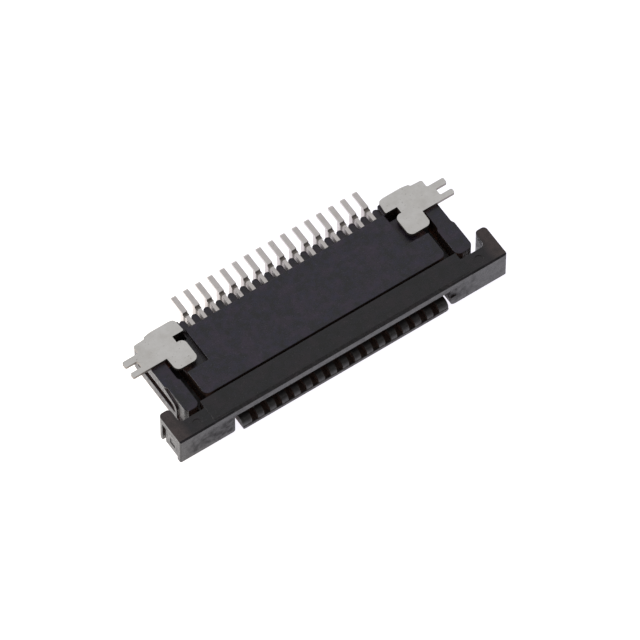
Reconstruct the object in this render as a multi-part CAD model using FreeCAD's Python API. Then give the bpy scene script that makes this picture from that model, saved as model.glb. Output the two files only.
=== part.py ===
"""Right-angle surface-mount connector for a flat flexible cable, 16 contacts at 1.0 mm.

The connector lies on its plain face, with its solder side up: +Z points from the plain face
to the circuit board, the cable goes in along +Y from the front, and the soldered feet point
back along +Y. X runs along the row of contacts.

Every depth below is measured from the front face of the closed slider, positive towards the
feet. The whole model is moved once, at the end, so that the origin is under its middle.
All sizes are in millimetres.
"""
import FreeCAD, Part
import math
import os

V = FreeCAD.Vector

# Row of contacts
pitch = 1.0
contact_count = 16
blade_t = 0.28            # thickness of the stamped contact blade, along X
blade_gap = 0.01          # clearance on each side of a blade in its slot
partition_w = 0.50        # width of the walls between the contacts
tooth_w = 0.50            # width of the teeth behind the plate
tooth_round = 0.98        # share of a tooth's width that its rounded end takes

# Heights above the plain face
board_z = 2.75            # solder plane: top of the feet and of the nails
standoff = 0.13           # the housing stays this far below the solder plane
plate_t = 0.52            # thickness of the housing plate over the cable
comb_top = 0.95           # top of the partitions, where the cable lies
rim_h = 0.30              # continuous rim along the cable mouth
slot_floor = 0.20         # floor of the contact slots, behind the rim
ledge_drop = 0.42         # the ledge under the nail's tab lies this far below the plate
tooth_drop = 0.32         # the teeth end this far below the plate

# Depths of the housing
lip_out = 0.22            # how far the comb's rim stands in front of the closed slider
closed_gap = 0.20         # open line between the closed slider and the plate
wide_depth = 2.24         # depth of the plate's wide front
narrow_depth = 2.88       # depth of the plate behind it
back_wall = 0.92          # wall that holds the roots of the contacts
tooth_len = 0.88
block_over = 0.05         # the corner blocks reach this far behind the teeth

# Widths of the housing
cable_side = 1.00         # cable beyond the first and the last contact position
cavity_gap = 0.10         # clearance of the cable in the housing, each side
side_wall = 1.35
narrow_in = 0.30          # the plate's narrow part ends this far inside the cable's edge
corner_r = 0.42           # rounded front corners of the wide plate
rim_t = 0.20              # thickness of the rim in front of the slots
partition_back = 0.03     # the partitions start this far behind the front of the rim
partition_r = 0.50        # rounded top front corner of each partition
end_corner_r = 0.20       # rounded lower corners at both ends of the rim

# Spring arms at both ends of the housing
channel_w = 0.68          # open channel between the wide plate and the arm
arm_w = 1.24
arm_tip_gap = 0.45        # between the arm's end and the closed slider
arm_tip_r = 0.46
arm_drop = 0.05           # the arm's top lies this far below the nail
arm_relief = 0.13         # the arm is this much thinner behind the plate's wide part
arm_root_in = 0.52        # the channel beside the arm ends this far before the plate does
groove_z = (0.82, 1.58)   # groove along the arm's outer face
groove_depth = 0.30
groove_r = 0.60           # rounded upper front corner of the groove
groove_front_in = 1.27    # groove's front end, behind the arm's end
groove_back_in = 0.55     # groove's back end, before the corner block's back
cheek_out = {-1: -0.14, 1: 0.12}      # front cheek, out from the arm's face: left, right
cheek_z = (0.40, 1.75, 2.25)          # its lower edge: in front, at its corner, at its back end
cheek_len = 1.05          # the cheek's low front part, from the arm's end
cheek_r = 0.50
cheek_slope = 0.25        # the cheek runs out into the arm's face over this depth
hollow_in = 0.20          # hollow in the ledge, from the plate's narrow part to the nail's neck
hollow_depth = 0.48
hollow_drop = 1.30        # depth of the hollow below the nail
plug_r = 0.15             # rounded outer back corner of the corner block

# Slider
bar_depth = 2.00
bar_t = 0.72              # height of the bar's front face, with its bevel
bar_rise = 0.04           # the bar's top lies this much over the end blocks
bar_bevel = (0.25, 0.13)  # bevel along the bar's upper front edge: depth, height
block_bevel = 0.12
block_depth = 1.40        # depth of the end block in front of the arm
mouth_gap = {-1: 0.52, 1: 0.30}       # from the cable's edge to the left and the right block
pocket_gap = 0.08         # between the pocket's inner side and the arm's inner face
pocket_side_gap = 0.61    # between the arm's cheek and the hook
pocket_r = 0.32
hook_w = 0.90
hook_len = 1.30           # how far the hook reaches behind the block
hook_r = 0.30
outer_corner_r = 0.12
foot_corner_r = {-1: 0.20, 1: 0.45}   # inner lower corner of the left and the right block
tongue_gap = 0.07         # clearance between the tongue and the plate over it
cable_room = 0.40         # height left for the cable under the tongue of the closed slider
tongue_side = 0.20        # clearance of the tongue in the housing, each side
tongue_end_gap = 0.70     # between the tongue's tip and the end of the cavity
tongue_taper = 0.60
tongue_lead = 0.90        # depth over which the bar slopes down to the tongue
tongue_r = 0.30
side_groove = (0.48, 0.72)            # on the hook's outer face, from the hook's back edge
side_groove_depth = 0.30
side_top = 2.05           # top of the groove and of the shallow panel in front of it
panel_in = 0.38           # the panel starts this far behind the front face
panel_depth = 0.12
panel_mark = ((0.85, 1.45), (0.60, 1.25))   # square mark in the panel: depth range, height range
mark_depth = 0.04
ejector_d = 0.66          # diameter of the ejector mark on each block
ejector_out = 1.08        # ejector mark, outside the pocket's inner corner
ejector_depth = 0.04
gate_r = 0.35             # scooped gate mark on the right block's front, near its inner edge
gate_out = 0.22           # the scoop's axis lies this far in front of the face
gate_in = 0.25            # and this far outside the inner edge
gate_z = (0.95, 1.95)

# Slider legs in the channels beside the arms
travel = 1.20             # how far the slider comes out to open
leg_gap = 0.07            # clearance on each side of a leg in its channel
leg_z = (0.40, 1.30)
leg_root = 0.50           # the leg starts this far inside the end block
nub_out = 0.14            # how far the leg's nub stands out behind the arm's step
nub_len = 0.43
stop_gap = 0.02           # clearance left at the stop when the slider is open

# Contacts
foot_w = 0.40             # the foot is pressed wider than the blade
foot_len = 1.16           # flat foot beyond the blade's tall root
foot_t = 0.24
foot_tip_r = 0.20         # the foot's end curves down
foot_corner_tip_r = 0.12
root_len = 0.64           # the blade's tall root reaches this far behind the teeth
root_drop = 0.14          # root's top edge below the solder plane
band_in = (0.42, 0.68)    # step across the foot, from the root's back edge
band_depth = 0.04         # the step lies this far below the root's top
column_in = 0.20          # column of the blade inside the back wall, from the cavity's end
beam_low = 0.05           # spring beam above the slot's floor
beam_t = 0.32
beam_front = 1.10
nose_over = 0.10          # the nose stands this far above the partitions
nose_d = (2.30, 2.90)
nose_run = 0.90           # depth of the slopes on both sides of the nose
beam_lead = 0.10          # the beam's front end is this much thinner
nose_r = 0.25
blade_r = 0.15            # rounded corners of the stamped blade
under_gap = 0.03          # clearance between a blade and the plate

# Solder nails
nail_t = 0.25
nail_inner_gap = 0.16     # between the plate's narrow part and the nail
neck_in = 1.10            # inner edge of the neck, from the plate's narrow part
neck_gap = 0.05           # the neck's outer edge, inside the arm's inner face
nail_prong_in = (1.29, 0.87, 0.32)    # front edge, slot's front and slot's back, before the plate's end
nail_back_in = 0.18       # back edge of the back prong, behind the plate's end
shoulder_out = 0.08       # the nail's shoulder stands out over the arm
slot_out = 0.40           # bottom of the slot between the prongs, from the shoulder
prong_out = 1.35          # tips of the prongs, from the shoulder
prong_r = 0.12
tab_in = 0.57             # the tab's inner edge, before the neck's
tab_depth = (2.48, 0.58)  # front and back edge of the tab, before the plate's end
tab_r = 0.42
leg_w = 1.15              # leg bent down at the nail's back edge
leg_in = 0.25             # the leg starts this far inside the neck's inner edge
leg_len = 1.65
bend_r = 0.12
nail_r = 0.10             # small stamped corners
nail_inner_back = 0.03    # the nail's inner front corner, before the plate's end
tab_gap = 0.10            # the tab's outer edge, inside the arm's inner face
back_in = (0.10, 0.05)    # outer back edge before the block's back: at the shoulder, inside
flare_x = (0.90, 1.00)    # the back edge steps back to the leg this far from the shoulder
flare_out = 0.10          # the step's back corner, behind the block's back
leg_r = 0.30

# Worked out from the sizes above: widths
row_half = pitch * (contact_count - 1) / 2
comb_half = row_half + cable_side
cavity_half = comb_half + cavity_gap
narrow_half = comb_half - narrow_in
wide_half = cavity_half + side_wall
arm_inner = wide_half + channel_w
arm_outer = arm_inner + arm_w
block_inner = {side: comb_half + gap for side, gap in mouth_gap.items()}
pocket_inner = arm_inner - pocket_gap
hook_inner = arm_outer + max(cheek_out.values()) + pocket_side_gap
slider_half = hook_inner + hook_w
nail_inner = narrow_half + nail_inner_gap
neck_inner = narrow_half + neck_in
shoulder = arm_outer + shoulder_out
slot_w = pitch - partition_w
contact_x = [i * pitch - row_half for i in range(contact_count)]
partition_x = [i * pitch - row_half - pitch / 2 for i in range(contact_count + 1)]
end_wall_x = row_half + slot_w / 2

# Worked out: heights
plate_top = board_z - standoff
plate_bottom = plate_top - plate_t
nail_z = board_z - nail_t
arm_top = nail_z - arm_drop
ledge_z = plate_top - ledge_drop
slider_top = plate_top
bar_top = slider_top + bar_rise
bar_bottom = bar_top - bar_t
tongue_top = plate_bottom - tongue_gap
tongue_bottom = comb_top + cable_room

# Worked out: depths, from the front face of the closed slider
plate_front = bar_depth + closed_gap
plate_step = plate_front + wide_depth
plate_back = plate_step + narrow_depth
cavity_back = plate_back - back_wall
teeth_back = plate_back + tooth_len
block_back = teeth_back + block_over
arm_tip = block_depth + arm_tip_gap
arm_root = plate_back - arm_root_in
hook_back = block_depth + hook_len
comb_front = partition_back - lip_out
rim_back = rim_t - lip_out
tongue_tip = cavity_back - tongue_end_gap
root_back = teeth_back + root_len
foot_tip = root_back + foot_len
middle_depth = (foot_tip - lip_out) / 2

# Small lengths of the construction itself
reach_in = 0.10           # how far a cut or a joined piece reaches into its neighbour
join_tolerance = 1e-6


def box(x, d, z):
    """Box from three (low, high) pairs."""
    return Part.makeBox(x[1] - x[0], d[1] - d[0], z[1] - z[0], V(x[0], d[0], z[0]))


def rounded_wire(points):
    """Closed wire through (u, v, radius) corners in the XY plane, with tangent arcs."""
    count = len(points)
    ends = []
    for i, (u, v, radius) in enumerate(points):
        corner = V(u, v, 0)
        before = V(*points[i - 1][:2], 0) - corner
        after = V(*points[(i + 1) % count][:2], 0) - corner
        if radius == 0:
            ends.append((corner, None, corner))
            continue
        before.normalize()
        after.normalize()
        half = before.getAngle(after) / 2
        middle = before + after
        middle.normalize()
        reach = radius / math.tan(half)
        deepest = corner + middle * (radius / math.sin(half) - radius)
        ends.append((corner + before * reach, deepest, corner + after * reach))
    edges = []
    for i, (start, deepest, end) in enumerate(ends):
        if deepest is not None:
            edges.append(Part.Arc(start, deepest, end).toShape())
        following = ends[(i + 1) % count][0]
        if end.distanceToPoint(following) > join_tolerance:
            edges.append(Part.LineSegment(end, following).toShape())
    return Part.Wire(edges)


def plan(points, z):
    """Outline of (x, depth, radius) corners, extruded from z[0] to z[1]."""
    solid = Part.Face(rounded_wire(points)).extrude(V(0, 0, z[1] - z[0]))
    solid.translate(V(0, 0, z[0]))
    return solid


def section(points, x):
    """Outline of (depth, z, radius) corners, extruded along X from x[0] to x[1]."""
    solid = Part.Face(rounded_wire(points)).extrude(V(0, 0, x[1] - x[0]))
    solid.rotate(V(0, 0, 0), V(1, 1, 1), 120)
    solid.translate(V(x[0], 0, 0))
    return solid


def front_view(points, d):
    """Outline of (x, z, radius) corners, extruded along the depth from d[0] to d[1]."""
    solid = Part.Face(rounded_wire(points)).extrude(V(0, 0, d[0] - d[1]))
    solid.rotate(V(0, 0, 0), V(1, 0, 0), 90)
    solid.translate(V(0, d[0], 0))
    return solid


def mirrored(solid):
    return solid.mirror(V(0, 0, 0), V(1, 0, 0))


def both_sides(solid):
    return [solid, mirrored(solid)]


def span(half):
    return (-half, half)


def housing_core():
    """Comb, cavity for the cable, back wall and the stepped plate over them."""
    rim = front_view(
        [(-comb_half, 0, end_corner_r), (comb_half, 0, end_corner_r),
         (comb_half, comb_top, 0), (-comb_half, comb_top, 0)],
        (-lip_out, plate_front))
    body = plan(
        [(-wide_half, plate_front, corner_r), (wide_half, plate_front, corner_r),
         (wide_half, plate_back, 0), (-wide_half, plate_back, 0)],
        (0, ledge_z))
    narrow = box(span(narrow_half), (plate_step, plate_back), (ledge_z, plate_top))
    wide = plan(
        [(-wide_half, plate_front, corner_r), (wide_half, plate_front, corner_r),
         (wide_half, plate_step, 0), (-wide_half, plate_step, 0)],
        (ledge_z, plate_top))
    cavity = box(span(cavity_half), (plate_front, cavity_back), (comb_top, plate_bottom))
    return rim.fuse([body, narrow, wide]).cut(cavity)


def contact_slot(x):
    """Slot for one contact: open over the rim, wide along the beam, tight at the root."""
    wide = box((x - slot_w / 2, x + slot_w / 2), (rim_back, cavity_back),
               (slot_floor, plate_bottom))
    mouth = box((x - slot_w / 2, x + slot_w / 2), (-lip_out - reach_in, rim_back + reach_in),
                (rim_h, plate_bottom))
    half = blade_t / 2 + blade_gap
    tight = box((x - half, x + half), (cavity_back - reach_in, plate_back + reach_in),
                (slot_floor, plate_bottom))
    return wide.fuse([mouth, tight])


def partition_fronts():
    """What is cut away to set the partitions back behind the rim and round their tops."""
    back = comb_front + partition_r
    stock = box(span(comb_half + reach_in), (-lip_out - reach_in, back),
                (rim_h, comb_top + reach_in))
    kept = section(
        [(comb_front, rim_h - reach_in, 0), (back + reach_in, rim_h - reach_in, 0),
         (back + reach_in, comb_top, 0), (comb_front, comb_top, partition_r)],
        span(comb_half))
    return stock.cut(kept)


def back_teeth():
    """Rounded teeth that stand between the contacts behind the plate."""
    teeth = []
    tip_r = tooth_w * tooth_round / 2
    for x in partition_x:
        teeth.append(plan(
            [(x - tooth_w / 2, cavity_back, 0), (x + tooth_w / 2, cavity_back, 0),
             (x + tooth_w / 2, teeth_back, tip_r), (x - tooth_w / 2, teeth_back, tip_r)],
            (0, plate_top - tooth_drop)))
    return teeth


def cheek(face):
    """The arm's front cheek: its side view from the arm's end, up to the given outer face."""
    corner = arm_tip + cheek_len
    side_view = section(
        [(arm_tip, cheek_z[0], 0), (corner, cheek_z[0], 0), (corner, cheek_z[1], cheek_r),
         (plate_step, cheek_z[2], 0), (plate_step, arm_top, 0), (arm_tip, arm_top, 0)],
        (arm_outer - groove_depth, max(face, arm_outer)))
    rounded = plan(
        [(arm_inner, arm_tip, 0), (face, arm_tip, arm_tip_r),
         (face, plate_step - cheek_slope, 0), (arm_outer, plate_step, 0),
         (arm_inner, plate_step, 0)],
        (0, arm_top))
    return side_view.common(rounded)


def end_arm(side):
    """Corner block and spring arm with its groove and cheek; side is -1 or 1."""
    relieved = arm_inner + arm_relief
    arm = plan(
        [(arm_inner, arm_tip, arm_tip_r), (arm_outer, arm_tip, arm_tip_r),
         (arm_outer, block_back, plug_r), (relieved, block_back, 0), (relieved, plate_step, 0),
         (arm_inner, plate_step - arm_relief, 0)],
        (0, arm_top))
    block_inner_x = partition_x[-1] + tooth_w / 2
    block = plan(
        [(block_inner_x, cavity_back, 0), (wide_half, cavity_back, 0),
         (wide_half, arm_root, 0), (arm_outer, arm_root, 0), (arm_outer, block_back, plug_r),
         (block_inner_x, block_back, plug_r)],
        (0, nail_z))
    block = block.cut(box((narrow_half, arm_inner), (cavity_back, plate_back), (ledge_z, nail_z)))
    front = arm_tip + groove_front_in
    back = block_back - groove_back_in
    groove = section(
        [(front, groove_z[0], 0), (back, groove_z[0], 0), (back, groove_z[1], 0),
         (front, groove_z[1], groove_r)],
        (arm_outer - groove_depth, arm_outer + reach_in))
    cheek_face = arm_outer + cheek_out[side]
    if cheek_out[side] > 0:
        arm = arm.fuse([block, cheek(cheek_face)]).cut(groove)
    else:
        beyond = cheek(arm_outer).cut(cheek(cheek_face))
        arm = arm.cut(beyond).fuse(block).cut(groove)
    return arm if side > 0 else mirrored(arm)


def hollow():
    """Deep hollow in the ledge beside the nail's neck."""
    return box((narrow_half + hollow_in, neck_inner), (plate_back - hollow_depth, plate_back),
               (nail_z - hollow_drop, nail_z))


def housing():
    body = housing_core().fuse(back_teeth() + [end_arm(-1), end_arm(1)])
    cuts = [contact_slot(x) for x in contact_x] + both_sides(hollow()) + [partition_fronts()]
    return body.cut(cuts).removeSplitter()


def slider_block(side):
    """One end block with its pocket, hook and small moulding marks; side is -1 or 1."""
    inner = block_inner[side]
    block = plan(
        [(inner, 0, 0), (slider_half, 0, outer_corner_r), (slider_half, hook_back, hook_r),
         (hook_inner, hook_back, hook_r), (hook_inner, block_depth, pocket_r),
         (pocket_inner, block_depth, pocket_r / 2), (pocket_inner, bar_depth, nail_r),
         (inner, bar_depth, 0)],
        (0, slider_top))
    face = front_view(
        [(inner, 0, foot_corner_r[side]), (slider_half, 0, 0),
         (slider_half, slider_top, 0), (inner, slider_top, 0)],
        (0, hook_back))
    bevel = section(
        [(0, slider_top, 0), (0, slider_top - block_bevel, 0), (block_bevel, slider_top, 0)],
        (inner, slider_half))
    groove_d = (hook_back - side_groove[1], hook_back - side_groove[0])
    groove = box((slider_half - side_groove_depth, slider_half), groove_d, (0, side_top))
    panel_face = slider_half - panel_depth
    panel = box((panel_face, slider_half), (panel_in, groove_d[0]), (0, side_top))
    square = box((panel_face - mark_depth, panel_face), *panel_mark)
    ejector = Part.makeCylinder(
        ejector_d / 2, ejector_depth,
        V(pocket_inner + ejector_out, block_depth / 2, slider_top - ejector_depth))
    block = block.common(face).cut([bevel, groove, panel, square, ejector])
    if side > 0:
        return block.cut(Part.makeCylinder(
            gate_r, gate_z[1] - gate_z[0], V(inner + gate_in, -gate_out, gate_z[0])))
    return mirrored(block)


def slider_bar():
    """Bar over the cable mouth and the tongue that presses the cable on the contacts."""
    bar = section(
        [(0, bar_bottom, 0), (bar_depth, bar_bottom, 0), (bar_depth, bar_top, 0),
         (bar_bevel[0], bar_top, 0), (0, bar_top - bar_bevel[1], 0)],
        span(pocket_inner))
    tongue = section(
        [(0, bar_bottom, 0), (tongue_lead, tongue_bottom, tongue_r),
         (tongue_tip - tongue_taper, tongue_bottom, tongue_r),
         (tongue_tip, (tongue_bottom + tongue_top) / 2, 0), (tongue_tip, tongue_top, 0),
         (bar_depth, tongue_top, 0), (bar_depth, bar_bottom + reach_in, 0),
         (tongue_lead, bar_bottom + reach_in, 0)],
        span(cavity_half - tongue_side))
    return bar.fuse(tongue)


def slider_leg():
    """Leg in the channel beside the arm; its nub meets the arm's step when it is open."""
    root = bar_depth - leg_root
    nub_front = plate_step + travel + stop_gap
    end = nub_front + nub_len
    inner = wide_half + leg_gap
    outer = arm_inner - leg_gap
    return plan(
        [(inner, root, 0), (outer, root, 0), (outer, nub_front, 0),
         (outer + nub_out, nub_front, 0), (outer + nub_out, nub_front + nub_len / 2, 0),
         (outer, end, 0), (inner, end, 0)],
        leg_z)


def slider():
    parts = [slider_block(-1), slider_block(1)] + both_sides(slider_leg())
    return slider_bar().fuse(parts).removeSplitter()


def contact(x):
    """One stamped blade: solder foot, tall root in the back wall and spring beam."""
    beam = (slot_floor + beam_low, slot_floor + beam_low + beam_t)
    nose_z = comb_top + nose_over
    root_top = board_z - root_drop
    foot_bottom = board_z - foot_t
    column = cavity_back + column_in
    inside_top = plate_bottom - under_gap
    band = (root_back - band_in[1], root_back - band_in[0])
    profile = [
        (band[1], foot_bottom, 0), (root_back, foot_bottom, 0), (root_back, beam[0], blade_r),
        (beam_front, beam[0], 0), (beam_front, beam[1] - beam_lead, 0),
        (nose_d[0] - nose_run, beam[1], 0), (nose_d[0], nose_z, nose_r),
        (nose_d[1], nose_z, nose_r), (nose_d[1] + nose_run, beam[1], 0),
        (column, beam[1], blade_r), (column, inside_top, 0),
        (plate_back + under_gap, inside_top, 0), (plate_back + under_gap, root_top, 0),
        (band[0], root_top, 0), (band[0], foot_bottom, 0)]
    blade = section(profile, (x - blade_t / 2, x + blade_t / 2))
    half = foot_w / 2
    pad = plan(
        [(x - half, band[0], 0), (x + half, band[0], 0), (x + half, foot_tip, foot_corner_tip_r),
         (x - half, foot_tip, foot_corner_tip_r)],
        (foot_bottom, board_z))
    curve = section(
        [(band[0], foot_bottom, 0), (band[0], root_top - band_depth, 0),
         (band[1], root_top - band_depth, 0), (band[1], board_z, 0),
         (foot_tip, board_z, foot_tip_r), (foot_tip, foot_bottom, 0)],
        (x - half, x + half))
    return blade.fuse(pad.common(curve)).removeSplitter()


def nail_outline():
    """Flat outline of the right-hand nail, as (x, depth, radius) corners."""
    front, slot_front, slot_back = (plate_back - inset for inset in nail_prong_in)
    prong_back = plate_back + nail_back_in
    prong_tip = shoulder + prong_out
    slot_bottom = shoulder + slot_out
    tab_back = plate_back - tab_depth[1]
    tab_front = plate_back - tab_depth[0]
    tab_inner = neck_inner - tab_in
    tab_outer = arm_inner - tab_gap
    neck_outer = arm_inner - neck_gap
    inner_front = plate_back - nail_inner_back
    leg_inner = neck_inner - leg_in
    leg_outer = leg_inner + leg_w
    leg_back = block_back + nail_t
    return [
        (nail_inner, inner_front, nail_r), (neck_inner, inner_front, 0),
        (neck_inner, tab_back, 0), (tab_inner, tab_back, tab_r),
        (tab_inner, tab_front, tab_r), (tab_outer, tab_front, tab_r),
        (neck_outer, front, 0), (prong_tip, front, prong_r), (prong_tip, slot_front, prong_r),
        (slot_bottom, slot_front, nail_r), (slot_bottom, slot_back, nail_r),
        (prong_tip, slot_back, prong_r), (prong_tip, prong_back, prong_r),
        (shoulder, prong_back, nail_r), (shoulder, block_back - back_in[0], plug_r),
        (shoulder - flare_x[0], block_back - back_in[1], 0),
        (shoulder - flare_x[1], block_back + flare_out, 0),
        (leg_outer, leg_back, leg_r), (leg_inner, leg_back, leg_r),
        (nail_inner + nail_r, block_back + flare_out, leg_r)]


def solder_nail():
    """Right-hand nail: stamped plate with two prongs, an inner tab and a leg bent down."""
    flat = plan(nail_outline(), (nail_z, board_z))
    leg_inner = neck_inner - leg_in
    leg_x = (leg_inner, leg_inner + leg_w)
    leg_d = (block_back, block_back + nail_t)
    leg = section(
        [(leg_d[0], nail_z + bend_r, 0), (leg_d[1], nail_z + bend_r, 0),
         (leg_d[1], board_z - leg_len, 0), (leg_d[0], board_z - leg_len, 0)],
        leg_x)
    rounded = section(
        [(leg_d[0], nail_z, 0), (leg_d[1], nail_z, 0), (leg_d[1], board_z, bend_r),
         (leg_d[0], board_z, 0)],
        (leg_x[0] - leg_w, leg_x[1] + leg_w))
    behind = box((nail_inner, shoulder), (leg_d[0], leg_d[1] + nail_t), (nail_z, board_z))
    return flat.cut(behind.cut(rounded)).fuse(leg).removeSplitter()


def write(name, solid):
    solid.translate(V(0, -middle_depth, 0))
    solid.exportStep("parts/" + name + ".step")
    size = solid.BoundBox
    print("%-18s valid %s solids %d volume %.3f  x %.2f..%.2f y %.2f..%.2f z %.2f..%.2f" % (
        name, solid.isValid(), len(solid.Solids), solid.Volume, size.XMin, size.XMax,
        size.YMin, size.YMax, size.ZMin, size.ZMax))


os.makedirs("parts", exist_ok=True)
write("housing", housing())
write("slider", slider())
for index, x in enumerate(contact_x):
    write("contact_%02d" % (index + 1), contact(x))
for name, nail in zip(("solder_nail_right", "solder_nail_left"), both_sides(solder_nail())):
    write(name, nail)
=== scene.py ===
# %% [markdown]
# # A flat-cable connector, lying with its solder side up
#
# The object is a small moulded connector, 27 mm long. It has two black plastic pieces, a housing
# and a slider that locks the cable, and eighteen stamped metal pieces: sixteen contacts and two
# solder nails. Its solids come ready made, so this lesson is about what they lack: the finish of
# every surface, the softness of moulded and stamped edges, the light and the camera.

# %% Load the solids
import math

import bpy
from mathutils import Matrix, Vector


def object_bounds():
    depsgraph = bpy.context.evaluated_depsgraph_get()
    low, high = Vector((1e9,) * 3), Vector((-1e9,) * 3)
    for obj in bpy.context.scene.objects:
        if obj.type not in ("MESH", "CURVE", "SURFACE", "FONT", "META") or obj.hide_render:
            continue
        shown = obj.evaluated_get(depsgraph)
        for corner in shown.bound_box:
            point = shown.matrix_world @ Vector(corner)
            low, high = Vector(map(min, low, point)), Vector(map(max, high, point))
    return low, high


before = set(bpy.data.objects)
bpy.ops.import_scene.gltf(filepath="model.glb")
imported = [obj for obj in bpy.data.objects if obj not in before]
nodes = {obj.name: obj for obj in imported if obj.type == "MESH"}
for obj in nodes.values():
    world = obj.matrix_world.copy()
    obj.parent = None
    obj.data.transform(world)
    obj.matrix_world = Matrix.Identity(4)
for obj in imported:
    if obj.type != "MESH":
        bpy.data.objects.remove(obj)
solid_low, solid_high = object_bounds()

MM = 0.001
contacts = [nodes[name] for name in sorted(nodes) if name.startswith("contact_")]
nails = [nodes["solder_nail_left"], nodes["solder_nail_right"]]
FRONT = round(solid_low[1] / MM, 3)
END = round(solid_high[0] / MM, 3)
print("solids:", len(nodes), "of which contacts:", len(contacts))
print("front edge at y", FRONT, "mm and ends at x -+", END, "mm")

# %% [markdown]
# ## Colours and nodes
#
# Colours are easiest to pick as hex values, as on a screen. Blender's shaders want linear light,
# so one function turns hex to linear. A second function adds a node, fills its inputs and gives
# back one output, so that each material below reads like a sum. It fills the inputs in their own
# order, or by name. A Map Range node, for instance, takes a value, the range that it comes from and
# the range that it goes to.
#
# Every pattern is placed in millimetres of the object itself, so its scale is a real size. A
# scale is given as marks per millimetre: 5 per mm is a pattern of about 0.2 mm.

# %% Colour and node helpers
def linear(hex_colour):
    """Turns an sRGB hex value such as #24232A to a linear colour with alpha 1."""
    parts = [int(hex_colour[i:i + 2], 16) / 255 for i in (1, 3, 5)]
    return [c / 12.92 if c <= 0.04045 else ((c + 0.055) / 1.055) ** 2.4 for c in parts] + [1.0]


def add_node(tree, kind, *values, out=0, **named):
    """Adds a node and returns one of its outputs.

    Values fill the inputs in order. A named value is an input if its name has a capital, and
    otherwise one of the node's own fields, such as operation. Text is a hex colour.
    """
    node = tree.nodes.new("ShaderNode" + kind)
    for name in [n for n in named if n.islower()]:
        setattr(node, name, named.pop(name))
    inputs = [s for s in node.inputs if s.enabled]
    by_name = {s.name.replace(" ", "_"): s for s in reversed(inputs)}
    filled = list(zip(inputs, values)) + [(by_name[name], value) for name, value in named.items()]
    for socket, value in filled:
        if isinstance(value, bpy.types.NodeSocket):
            tree.links.new(value, socket)
        else:
            socket.default_value = linear(value) if isinstance(value, str) else value
    return node.outputs[out]


def start_material(name):
    """A new node material with its shader and an object-space position in millimetres."""
    material = bpy.data.materials.new(name)
    material.use_nodes = True
    tree = material.node_tree
    place = add_node(tree, "TexCoord", out="Object")
    in_mm = add_node(tree, "VectorMath", place, operation="SCALE", Scale=1 / MM)
    return material, tree, tree.nodes["Principled BSDF"], in_mm


print("hex #808080 is", round(linear("#808080")[0], 3), "in linear light")

# %% [markdown]
# ## Where a face is and how it lies
#
# Painted shade and highlights, and wear, go in some places and not in others. All are found from the
# position in millimetres and from the direction in which a face looks, so nothing has to be painted
# by hand.
# Each condition is a share from 0 to 1, and where several have to hold, their shares are
# multiplied.

# %% Places on the object
def all_of(tree, first, *others):
    """The share where all the given ones hold."""
    for other in others:
        first = add_node(tree, "Math", first, other, operation="MULTIPLY")
    return first


def between(tree, value, low, high):
    """1 where a value is in a range and 0 elsewhere."""
    return all_of(tree, add_node(tree, "Math", value, low, operation="GREATER_THAN"),
                  add_node(tree, "Math", value, high, operation="LESS_THAN"))


def from_middle(tree, place):
    """The distance along the row from its middle, the same at both ends."""
    return add_node(tree, "Math", add_node(tree, "SeparateXYZ", place, out="X"),
                    operation="ABSOLUTE")


def facing(tree, axis):
    """How far a face looks along an axis, from -1 to 1."""
    return add_node(tree, "SeparateXYZ", add_node(tree, "NewGeometry", out="Normal"), out=axis)


def upright_faces(tree):
    """1 on walls and 0 on level faces."""
    level = add_node(tree, "Math", facing(tree, "Z"), operation="ABSOLUTE")
    return add_node(tree, "MapRange", level, 0.4, 0.8, 1.0, 0.0)


print("the row reaches", END, "mm to both sides of its middle")

# %% [markdown]
# ## Painted shade on the housing
#
# The gaps and slots of this connector get a painted brown shade inside. It is strongest in the comb
# at the mouth, under the slider, and a little weaker on the comb's outer rim. The walls of the
# channels beside the arms and the grooves along the arms get a painted brown shade as well. The
# comb's share also makes it rougher.

# %% Painted shade on the housing
COMB_SHADE = "#16110E"
GAP_SHADE = "#3E3029"
BROWNER_GAP_SHADE = "#775B50"
WALL_SHADE = "#2B1F19"
GROOVE_SHADE = "#211611"

RIM_BACK = round(FRONT + 0.06, 2)
COMB_BACK = -3.3
COMB_TOP = 1.3
CHANNEL_WALLS = (8.8, 10.9)
CHANNEL_FADE = (9.2, 9.6)
GROOVE_FLOOR = (11.45, 11.65)
GROOVE_INNER = 11.5
GROOVE_OUTER = 11.83
GROOVE_HEIGHT = (0.79, 1.61)


def comb_painted_shade(tree, place):
    """Painted brown shade over the comb up to the slider, and less of it on the outer rim."""
    depth = add_node(tree, "SeparateXYZ", place, out="Y")
    height = add_node(tree, "SeparateXYZ", place, out="Z")
    return all_of(tree, add_node(tree, "MapRange", depth, COMB_BACK, COMB_BACK - 0.2, 0.0, 0.95),
                  add_node(tree, "MapRange", height, 0.0, 0.05, 0.0, 1.0),
                  add_node(tree, "MapRange", depth, RIM_BACK, RIM_BACK + 0.05, 0.6, 1.0),
                  add_node(tree, "MapRange", height, COMB_TOP, COMB_TOP - 0.1, 0.0, 1.0))


def inner_walls(tree, place):
    """The upright faces in the channels beside the arms and at the bottom of the grooves."""
    distance = from_middle(tree, place)
    inside = add_node(tree, "Math", between(tree, distance, *CHANNEL_WALLS),
                      between(tree, distance, *GROOVE_FLOOR), operation="ADD")
    return all_of(tree, upright_faces(tree), inside)


def groove_painted_shade(tree, place):
    """Painted brown shade on every face in the grooves along the arms."""
    distance = from_middle(tree, place)
    height = add_node(tree, "SeparateXYZ", place, out="Z")
    return all_of(tree,
                  add_node(tree, "MapRange", distance, GROOVE_INNER, GROOVE_INNER + 0.02, 0.0, 0.9),
                  add_node(tree, "MapRange", distance, GROOVE_OUTER - 0.04, GROOVE_OUTER, 1.0, 0.0),
                  between(tree, height, *GROOVE_HEIGHT))


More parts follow.
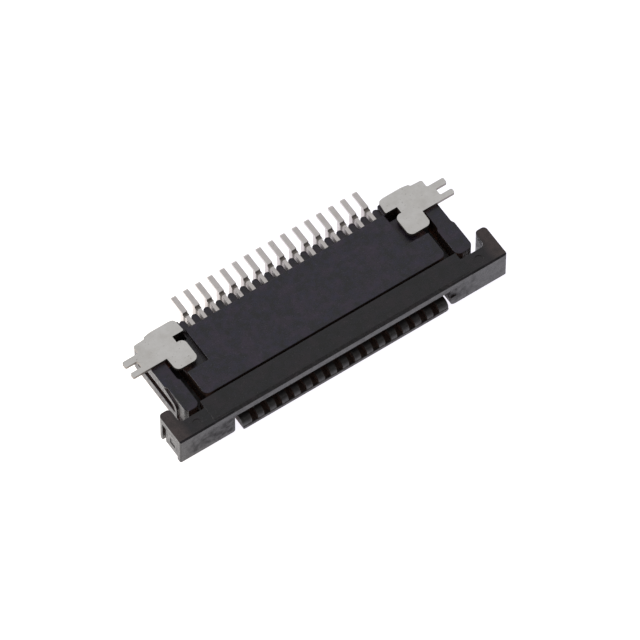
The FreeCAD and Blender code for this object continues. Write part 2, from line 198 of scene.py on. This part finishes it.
def housing_marks(tree, place, cloud):
    """Layers of painted shade, extra roughness and the painted brown shade inside the gaps."""
    # Painted brown shade over the comb under the slider. The same share also makes the comb rougher.
    comb_share = comb_painted_shade(tree, place)
    beside = add_node(tree, "MapRange", from_middle(tree, place), *CHANNEL_FADE, 0.0, 1.0)
    browner = add_node(tree, "Math", comb_share, beside, operation="MAXIMUM")
    # Painted brown shade on the channel walls and in the grooves.
    layers = [(comb_share, COMB_SHADE), (inner_walls(tree, place), WALL_SHADE), (groove_painted_shade(tree, place), GROOVE_SHADE)]
    # Inside the gaps a painted brown shade, browner in the comb and toward the ends.
    return layers, all_of(tree, comb_share, 0.30), add_node(tree, "MixRGB", browner, GAP_SHADE, BROWNER_GAP_SHADE)


print("housing: the comb is dusty from y", RIM_BACK, "to", COMB_BACK, "mm")

# %% [markdown]
# ## Wear on the slider
#
# The slider is pulled by its hooks and pushed at its front, so it is handled more than the
# housing. Handling dulls a moulded skin and covers it with fine scratches, which look pale from
# above. The two ends of the front are dull in patches, and the tops of the hooks have gone a pale
# brown.

# %% Wear on the slider
WORN = "#453938"
HOOK_INNER = round(END - 1.2, 2)
HOOK_OUTER = round(END - 0.6, 2)
LOWER_FADE = (0.1, 0.5)
UPPER_FADE = (1.7, 2.2)
# Each dull patch: from x, to x, length of its fade, all in mm, and its share.
DULL_PATCHES = [(-13.0, -8.4, 0.6, 1.0), (-11.4, -8.2, 0.8, 0.3), (6.6, 11.5, 2.2, 1.0)]


def dull_patches(tree, place, cloud):
    """Extra roughness in patches along the front face."""
    along = add_node(tree, "SeparateXYZ", place, out="X")
    height = add_node(tree, "SeparateXYZ", place, out="Z")
    total = 0.0
    for start, end, fade, share in DULL_PATCHES:
        patch = all_of(tree, add_node(tree, "MapRange", along, start, start + fade, 0.0, share),
                       add_node(tree, "MapRange", along, end - fade, end, 1.0, 0.0))
        total = add_node(tree, "Math", total, patch, operation="ADD")
    return all_of(tree, add_node(tree, "MapRange", height, *LOWER_FADE, 0.0, 1.0),
                  add_node(tree, "MapRange", height, *UPPER_FADE, 1.0, 0.0), total,
                  add_node(tree, "MapRange", cloud, 0.30, 0.70, 0.14, 0.34))


def worn_hooks(tree, place, cloud):
    """The tops of the hooks, near both ends of the slider."""
    distance = from_middle(tree, place)
    return all_of(tree, add_node(tree, "MapRange", distance, HOOK_INNER, HOOK_OUTER, 0.0, 1.0),
                  add_node(tree, "MapRange", facing(tree, "Z"), 0.8, 0.95, 0.0, 1.0),
                  add_node(tree, "MapRange", cloud, 0.35, 0.60, 0.5, 1.0))


def slider_marks(tree, place, cloud):
    """Layers of wear colour, extra roughness and the painted brown shade inside the gaps."""
    return [(worn_hooks(tree, place, cloud), WORN)], dull_patches(tree, place, cloud), GAP_SHADE


print("slider:", len(DULL_PATCHES), "dull patches, tops worn beyond x -+", HOOK_INNER, "mm")

# %% [markdown]
# ## Painted highlights on the front edges
#
# The front edges of both mouldings, and the bevel along the bar, get a pale painted highlight. An
# edge is found with the shader's Bevel node: it rounds the normal near an edge, so the rounded
# normal and the flat one differ only there. A noise breaks the painted highlight up into pieces.

# %% Painted edge highlights
EDGE_HIGHLIGHT = "#6A645F"
EDGE_HIGHLIGHT_SHARE = 0.6
EDGE_HIGHLIGHT_BEFORE = (-4.4, -4.5)
HIGHLIGHT_BREAKS = 5.0


def painted_edge_highlight(tree, place, rounded):
    """A painted highlight on the front edges, where the rounded normal leaves the flat one, and on
    the bar's bevel.
    """
    flat = add_node(tree, "NewGeometry", out="Normal")
    agree = add_node(tree, "VectorMath", rounded, flat, operation="DOT_PRODUCT", out="Value")
    edge = add_node(tree, "MapRange", agree, 0.99, 0.92, 0.0, 1.0)
    bevel = all_of(tree, add_node(tree, "MapRange", facing(tree, "Y"), -0.3, -0.4, 0.0, 0.25),
                   add_node(tree, "MapRange", facing(tree, "Z"), 0.75, 0.85, 0.0, 1.0))
    depth = add_node(tree, "SeparateXYZ", place, out="Y")
    highlight_breaks = add_node(tree, "TexNoise", place, Scale=HIGHLIGHT_BREAKS, Detail=3.0, Roughness=0.7)
    return all_of(tree, add_node(tree, "Math", edge, bevel, operation="MAXIMUM"),
                  add_node(tree, "MapRange", depth, *EDGE_HIGHLIGHT_BEFORE, 0.0, EDGE_HIGHLIGHT_SHARE),
                  add_node(tree, "MapRange", highlight_breaks, 0.42, 0.62, 0.1, 1.0))


print("knocks of about", 1 / HIGHLIGHT_BREAKS, "mm")

# %% [markdown]
# ## The skin of the resin
#
# The housing of such a connector is liquid crystal polymer filled with short glass fibres. It
# comes out of a spark-eroded mould, so its skin has an even, very fine grain, and the fibres near
# the skin give it pale specks a few hundredths of a millimetre across. The slider is a tougher
# resin, a glass-filled nylon, with the same kind of skin.
#
# The flow of the melt leaves slow clouds, so the skin blends a cool and a warm tone. Both tones lean
# to purple and are kept to the faces that look up, as a painted tint of the sky these faces reflect.
# The upright faces mirror the floor and are a neutral black. The specks come from a Voronoi pattern
# that only shows where a second noise allows it.

# %% Skin and specks
SPECK_PATCHES = 3.1
NEUTRAL_WALL = "#1B1719"


def resin_skin(tree, melt, cloud, grain, base, cool, warm):
    """Patches of two tones on the faces that look up, as a painted sky tint, and neutral walls."""
    fine = add_node(tree, "MixRGB", 0.45, cloud, grain)
    patchy = add_node(tree, "MixRGB", 0.30, fine, melt)
    tone = add_node(tree, "MixRGB", add_node(tree, "MapRange", melt, 0.42, 0.58, 0.0, 1.0),
                    cool, warm)
    skin = add_node(tree, "MixRGB", add_node(tree, "MapRange", patchy, 0.44, 0.58, 0.0, 1.0),
                    base, tone)
    # Painted sky tint: the purple tones only on faces that look up, the walls neutral.
    wall = add_node(tree, "MapRange", facing(tree, "Z"), 0.3, 0.9, 0.9, 0.0)
    return add_node(tree, "MixRGB", wall, skin, NEUTRAL_WALL)


def fibre_specks(tree, place, speck_mm, share):
    """Ends of glass fibres, in some patches of the skin."""
    centre = add_node(tree, "TexVoronoi", place, feature="F1", Scale=1 / speck_mm, out="Distance")
    patches = add_node(tree, "TexNoise", place, Scale=SPECK_PATCHES, Detail=2.0)
    return all_of(tree, add_node(tree, "MapRange", centre, 0.10, 0.30, share, 0.0),
                  add_node(tree, "MapRange", patches, 0.48, 0.60, 0.0, 1.0))


print("specks in patches of about", round(1 / SPECK_PATCHES, 2), "mm")

# %% [markdown]
# ## Moulded resin
#
# One function makes both resins. It has three noises: the melt's flow of about a millimetre, a cloud
# of about half a millimetre that makes the skin locally duller, as rubbing in the mould and in the
# bag does, and the grain, which drives the bump. The real grain is finer still: it is drawn coarser
# so that it shows. Then come the layers of painted shade and wear from above, a painted highlight
# along the front edges, and in the gaps, where little sky reaches, a painted brown shade.

# %% Moulded resin
MELT = 0.8
CLOUD = 2.2
GAP_REACH = 0.7
GRAIN_HEIGHT = 0.02
RAYS = 6


def moulded_resin(name, base, cool, warm, fleck, ior, roughness, grain_mm, bump, fleck_share,
                  edge_mm, marks):
    """A black moulding. Marks is the function that gives it its own wear, extra roughness and
    painted shade.
    """
    material, tree, shader, place = start_material(name)
    melt = add_node(tree, "TexNoise", place, Scale=MELT, Detail=4.0, Roughness=0.6)
    cloud = add_node(tree, "TexNoise", place, Scale=CLOUD, Detail=5.0, Roughness=0.7)
    grain = add_node(tree, "TexNoise", place, Scale=1 / grain_mm, Detail=4.0, Roughness=0.65)
    layers, duller, deep = marks(tree, place, cloud)
    layers = [(fibre_specks(tree, place, 3 * grain_mm, fleck_share), fleck)] + layers
    colour = resin_skin(tree, melt, cloud, grain, base, cool, warm)
    for share, tint in layers:
        colour = add_node(tree, "MixRGB", share, colour, tint)
    # Painted brown shade wherever little sky reaches inside the gaps.
    sky = add_node(tree, "AmbientOcclusion", samples=RAYS, Distance=GAP_REACH * MM, out="AO")
    colour = add_node(tree, "MixRGB", add_node(tree, "MapRange", sky, 0.20, 0.60, 0.0, 1.0),
                      deep, colour)
    edges = add_node(tree, "Bevel", edge_mm * MM, samples=RAYS)
    # Painted highlight along the front edges and the bar's bevel.
    colour = add_node(tree, "MixRGB", painted_edge_highlight(tree, place, edges), colour, EDGE_HIGHLIGHT)
    dull = add_node(tree, "Math", add_node(tree, "MapRange", cloud, 0.38, 0.62, -0.10, 0.14),
                    duller, operation="ADD")
    slow = add_node(tree, "MapRange", melt, 0.3, 0.7, roughness - 0.03, roughness + 0.03)
    relief = add_node(tree, "Bump", Strength=bump, Distance=GRAIN_HEIGHT * MM, Height=grain,
                      Normal=edges)
    tree.links.new(colour, shader.inputs["Base Color"])
    tree.links.new(add_node(tree, "Math", slow, dull, operation="ADD"), shader.inputs["Roughness"])
    tree.links.new(relief, shader.inputs["Normal"])
    shader.inputs["IOR"].default_value = ior
    print("made", name)
    return material


housing_resin = moulded_resin(
    "glass_filled_lcp_black", base="#09060F", cool="#24223F", warm="#2E2037", fleck="#5F5E68",
    ior=1.55, roughness=0.28, grain_mm=0.05, bump=0.50, fleck_share=0.35, edge_mm=0.08,
    marks=housing_marks)
slider_resin = moulded_resin(
    "glass_filled_nylon_black", base="#09070A", cool="#1A1A24", warm="#211820", fleck="#565455",
    ior=1.50, roughness=0.27, grain_mm=0.06, bump=0.45, fleck_share=0.3, edge_mm=0.03,
    marks=slider_marks)

# %% [markdown]
# ## Matte tin on stamped metal
#
# The contacts and the nails are stamped from copper alloy strip and plated with matte tin. Matte
# tin is a pale, slightly warm grey with crystals of a few microns, so it scatters light almost
# evenly. The crystals are drawn much coarser than they are, so that they show. Rolling marks of the
# strip still show as faint lines along the blade. The plating is a little stained here and there.
# The metal is fully metallic and keeps the default IOR.
#
# On each contact a narrow band at the step behind the teeth is painted darker and warmer, as the
# painted shade of that step. The cut edges of the nails are darker than their tops, as on strip that
# was plated before it was stamped. That tint is kept to the flat part of the nail, above its bent
# leg.

# %% Tin plating
STAINS = 1.3
SPOTS = 7.0
CRYSTALS = 22.0
LINES_ACROSS = 30.0
LINES_ALONG = 1.2
PLATING_HEIGHT = 0.01
TARNISH = "#7C746C"
STEP_SHADE = "#857F7A"
CUT_EDGE = "#8E8782"
STEP_SHADE_BAND = (3.27, 3.53)
NAIL_UNDERSIDE = 2.49


def step_shade_band(tree, place):
    """A band of painted shade across each contact, at the step behind the teeth."""
    return between(tree, add_node(tree, "SeparateXYZ", place, out="Y"), *STEP_SHADE_BAND)


def cut_edges(tree, place):
    """The stamped edges of the flat part of a nail."""
    height = add_node(tree, "SeparateXYZ", place, out="Z")
    return all_of(tree, upright_faces(tree),
                  add_node(tree, "Math", height, NAIL_UNDERSIDE, operation="GREATER_THAN"))


def matte_tin(name, tint, stain, roughness, line_axis, shade_and_bare, shade_and_bare_colour):
    """Line_axis is the axis of the rolling marks. The function for the darker faces finds the
    painted shade band on a contact and the bare cut edges on a nail.
    """
    material, tree, shader, place = start_material(name)
    clouds = add_node(tree, "TexNoise", place, Scale=STAINS, Detail=4.0, Roughness=0.6)
    spots = add_node(tree, "TexNoise", place, Scale=SPOTS, Detail=3.0, Roughness=0.6)
    crystals = add_node(tree, "TexNoise", place, Scale=CRYSTALS, Detail=5.0, Roughness=0.65)
    stained = add_node(tree, "MapRange", clouds, 0.35, 0.75, 0.0, 1.0)
    spotted = add_node(tree, "MapRange", spots, 0.64, 0.72, 0.0, 0.5)
    colour = add_node(tree, "MixRGB", stained, tint, stain)
    colour = add_node(tree, "MixRGB", spotted, colour, TARNISH)
    # Darker faces: the painted shade of the step on the contacts, bare cut edges on the nails.
    colour = add_node(tree, "MixRGB", shade_and_bare(tree, place), colour, shade_and_bare_colour)
    stretch = [LINES_ACROSS] * 3
    stretch[line_axis] = LINES_ALONG
    lines = add_node(tree, "TexNoise", add_node(tree, "Mapping", place, Scale=stretch),
                     Scale=1.0, Detail=3.0)
    relief = add_node(tree, "Bump", Strength=0.3, Distance=PLATING_HEIGHT * MM,
                      Height=add_node(tree, "MixRGB", 0.6, lines, crystals))
    rough = add_node(tree, "MapRange", crystals, 0.3, 0.7, roughness - 0.06, roughness + 0.06)
    tree.links.new(colour, shader.inputs["Base Color"])
    tree.links.new(rough, shader.inputs["Roughness"])
    tree.links.new(relief, shader.inputs["Normal"])
    shader.inputs["Metallic"].default_value = 1.0
    print("made", name)
    return material


contact_tin = matte_tin("matte_tin_on_phosphor_bronze", tint="#DCD7D5", stain="#D1CBC9",
                        roughness=0.52, line_axis=1, shade_and_bare=step_shade_band, shade_and_bare_colour=STEP_SHADE)
nail_tin = matte_tin("matte_tin_on_brass", tint="#E0DEDC", stain="#D1CECA",
                     roughness=0.46, line_axis=0, shade_and_bare=cut_edges, shade_and_bare_colour=CUT_EDGE)

# %% [markdown]
# ## Dress the solids
#
# Each solid keeps its shape and gets its finish. Real edges are never knife sharp: moulded ones
# have a small radius and stamped ones a rolled edge. Two modifiers make that without touching
# the mesh. The first joins the flat triangles of each face, and the second rounds what is left
# of the edges by a few hundredths of a millimetre, which is what catches the light. Faces within
# half a degree of each other count as one, and an edge is sharp where they meet at over 35 degrees.

# %% Finishes and soft edges
MOULDED_EDGE = 0.035
BLADE_EDGE = 0.045
NAIL_EDGE = 0.06
FLAT_WITHIN = 0.5
SHARP_OVER = 35


def dress(node, material, edge_mm):
    """Gives a solid its material and its soft edges."""
    node.data.materials.clear()
    node.data.materials.append(material)
    flat = node.modifiers.new("join_flats", "DECIMATE")
    flat.decimate_type = "DISSOLVE"
    flat.angle_limit = math.radians(FLAT_WITHIN)
    edge = node.modifiers.new("soft_edges", "BEVEL")
    edge.width = edge_mm * MM
    edge.segments = 2
    edge.limit_method = "ANGLE"
    edge.angle_limit = math.radians(SHARP_OVER)
    edge.harden_normals = False


dress(nodes["housing"], housing_resin, MOULDED_EDGE)
dress(nodes["slider"], slider_resin, MOULDED_EDGE)
for blade in contacts:
    dress(blade, contact_tin, BLADE_EDGE)
for nail in nails:
    dress(nail, nail_tin, NAIL_EDGE)
print("dressed", 2 + len(contacts) + len(nails), "solids")

# %% [markdown]
# ## Floor
#
# The connector lies on a white acrylic sheet that is lit from below, so its shadow washes out. The
# sheet's glow is painted brighter at the back left, as a painted pool of light, and that lights the
# left faces of the end blocks and the arms. The sheet's light is painted a little cool in front and
# a little warm at the left.
#
# Right under the connector the sheet's glow is painted dim and brown: a painted shadow in a painted
# brown bounce light. Without that patch, light would shine up through the channels beside the arms.
# The sheet lies a hair below the solids, because two faces in one plane flicker.

# %% Floor
SHEET_DROP = 0.02
SHEET_SIZE = 1.2
GLOW = 0.97
PAINTED_POOL_GAIN = 1.42
PAINTED_SHADOW_SHARE = 0.11
COOL_LIGHT = "#F8F6FF"
WARM_LIGHT = "#FFFBF8"
PAINTED_BOUNCE_BROWN = "#C08468"
TOWARD_PAINTED_POOL = (-0.8, 0.6, 0.0)
# The painted shadow fades out between these distances from its middle, in mm.
PAINTED_SHADOW_X = (11.5, 11.9)
PAINTED_SHADOW_Y = (3.4, 3.7)
PAINTED_SHADOW_MIDDLE_Y = -0.2
# Toward the painted pool of light, the sheet's glow is painted brighter and warmer between these
# distances, in mm.
PAINTED_POOL_BETWEEN = (6.0, 11.0)
PAINTED_WARMTH_BETWEEN = (4.0, 9.0)


def square_sheet(name, size):
    """A level square, one face, with its middle under the object."""
    mesh = bpy.data.meshes.new(name)
    half = size / 2
    corners = [(-half, -half, 0), (half, -half, 0), (half, half, 0), (-half, half, 0)]
    mesh.from_pydata(corners, [], [(0, 1, 2, 3)])
    sheet = bpy.data.objects.new(name, mesh)
    bpy.context.scene.collection.objects.link(sheet)
    return sheet


def acrylic_with_painted_light():
    """White acrylic with light from below, a painted pool of light at the back left and a painted
    dim, brown shadow under the connector.
    """
    material, tree, shader, place = start_material("white_acrylic_sheet")
    depth = add_node(tree, "SeparateXYZ", place, out="Y")
    depth = add_node(tree, "Math", depth, PAINTED_SHADOW_MIDDLE_Y, operation="SUBTRACT")
    depth = add_node(tree, "Math", depth, operation="ABSOLUTE")
    beside = add_node(tree, "MapRange", from_middle(tree, place), *PAINTED_SHADOW_X, 0.0, 1.0)
    behind = add_node(tree, "MapRange", depth, *PAINTED_SHADOW_Y, 0.0, 1.0)
    outside = add_node(tree, "Math", beside, behind, operation="MAXIMUM")
    # Painted pool of light: the glow is painted brighter and warmer toward the back left.
    lamp = add_node(tree, "VectorMath", place, TOWARD_PAINTED_POOL, operation="DOT_PRODUCT", out="Value")
    glow = add_node(tree, "MapRange", lamp, *PAINTED_POOL_BETWEEN, GLOW, GLOW * PAINTED_POOL_GAIN)
    # Painted shadow under the connector, in a painted brown bounce light.
    painted_shadow_factor = add_node(tree, "Math", outside, PAINTED_SHADOW_SHARE, operation="MAXIMUM")
    warm = add_node(tree, "MapRange", lamp, *PAINTED_WARMTH_BETWEEN, 0.0, 1.0)
    tone = add_node(tree, "MixRGB", warm, COOL_LIGHT, WARM_LIGHT)
    tone = add_node(tree, "MixRGB", outside, PAINTED_BOUNCE_BROWN, tone)
    shader.inputs["Base Color"].default_value = linear("#C4C4C4")
    shader.inputs["Roughness"].default_value = 0.9
    tree.links.new(tone, shader.inputs["Emission Color"])
    tree.links.new(all_of(tree, painted_shadow_factor, glow), shader.inputs["Emission Strength"])
    return material


floor = square_sheet("floor", SHEET_SIZE)
floor.location.z = -SHEET_DROP * MM
floor.data.materials.append(acrylic_with_painted_light())
print("sheet", SHEET_SIZE, "m wide,", SHEET_DROP, "mm below the solids")

# %% [markdown]
# ## Light
#
# The rest of the light is a soft tent, bright behind the connector and darker on the side where
# the camera stands, and one low strip box at the back left. The bright back gives the top faces
# their grey, the dark front shows in the bevels, and the strip box picks out the left faces.

# %% Light
def light_tent(front, back):
    """A sky whose strength grows evenly from the front, -Y, to the back, +Y."""
    world = bpy.data.worlds.new("light_tent")
    bpy.context.scene.world = world
    world.use_nodes = True
    tree = world.node_tree
    direction = add_node(tree, "TexCoord", out="Generated")
    depth = add_node(tree, "SeparateXYZ", direction, out="Y")
    sky = tree.nodes["Background"]
    sky.inputs["Color"].default_value = linear("#FFFFFF")
    tree.links.new(add_node(tree, "MapRange", depth, -1.0, 1.0, front, back),
                   sky.inputs["Strength"])
    print("sky from", front, "in front to", back, "behind")


def strip_box(name, place, target, width, height, watts):
    """An area lamp that looks at its target."""
    light = bpy.data.lights.new(name, "AREA")
    light.shape = "RECTANGLE"
    light.size = width
    light.size_y = height
    light.energy = watts
    holder = bpy.data.objects.new(name, light)
    holder.location = place
    holder.rotation_euler = (Vector(target) - Vector(place)).to_track_quat("-Z", "Y").to_euler()
    bpy.context.scene.collection.objects.link(holder)
    print(name, width, "m wide at", place)
    return holder


light_tent(front=0.17, back=0.86)
strip_box("strip_box_left", (-0.16, 0.07, 0.05), (0, 0, 0), width=0.12, height=0.06, watts=0.10)

# %% [markdown]
# ## Camera
#
# The photograph was taken with a long lens from the front left, 59 degrees above the table. The
# view is almost without perspective. Two directions and a point say all: right and up in the
# picture, and the place that its middle shows. The photograph is plain and bright, so the
# Standard view transform suits it: white stays white and the greys stay flat.

# %% Camera
VIEW_RIGHT = Vector((0.8281, -0.5606, 0.0))
VIEW_UP = Vector((0.4800, 0.7089, 0.5168))
VIEW_CENTRE = Vector((0.297, -1.443, 1.30)) * MM
PICTURE_WIDTH = 43.92 * MM
CAMERA_DISTANCE = 0.60
SENSOR = 36.0

lens = bpy.data.cameras.new("camera")
lens.sensor_width = SENSOR
lens.lens = SENSOR * CAMERA_DISTANCE / PICTURE_WIDTH
lens.clip_start = 0.01
lens.clip_end = 10.0
camera = bpy.data.objects.new("camera", lens)
bpy.context.scene.collection.objects.link(camera)
back = VIEW_RIGHT.cross(VIEW_UP).normalized()
camera.location = VIEW_CENTRE + back * CAMERA_DISTANCE
camera.rotation_euler = (-back).to_track_quat("-Z", "Y").to_euler()
bpy.context.scene.camera = camera
bpy.context.scene.view_settings.view_transform = "Standard"
print("camera looks down at", round(math.degrees(math.asin(back.z)), 1), "degrees")
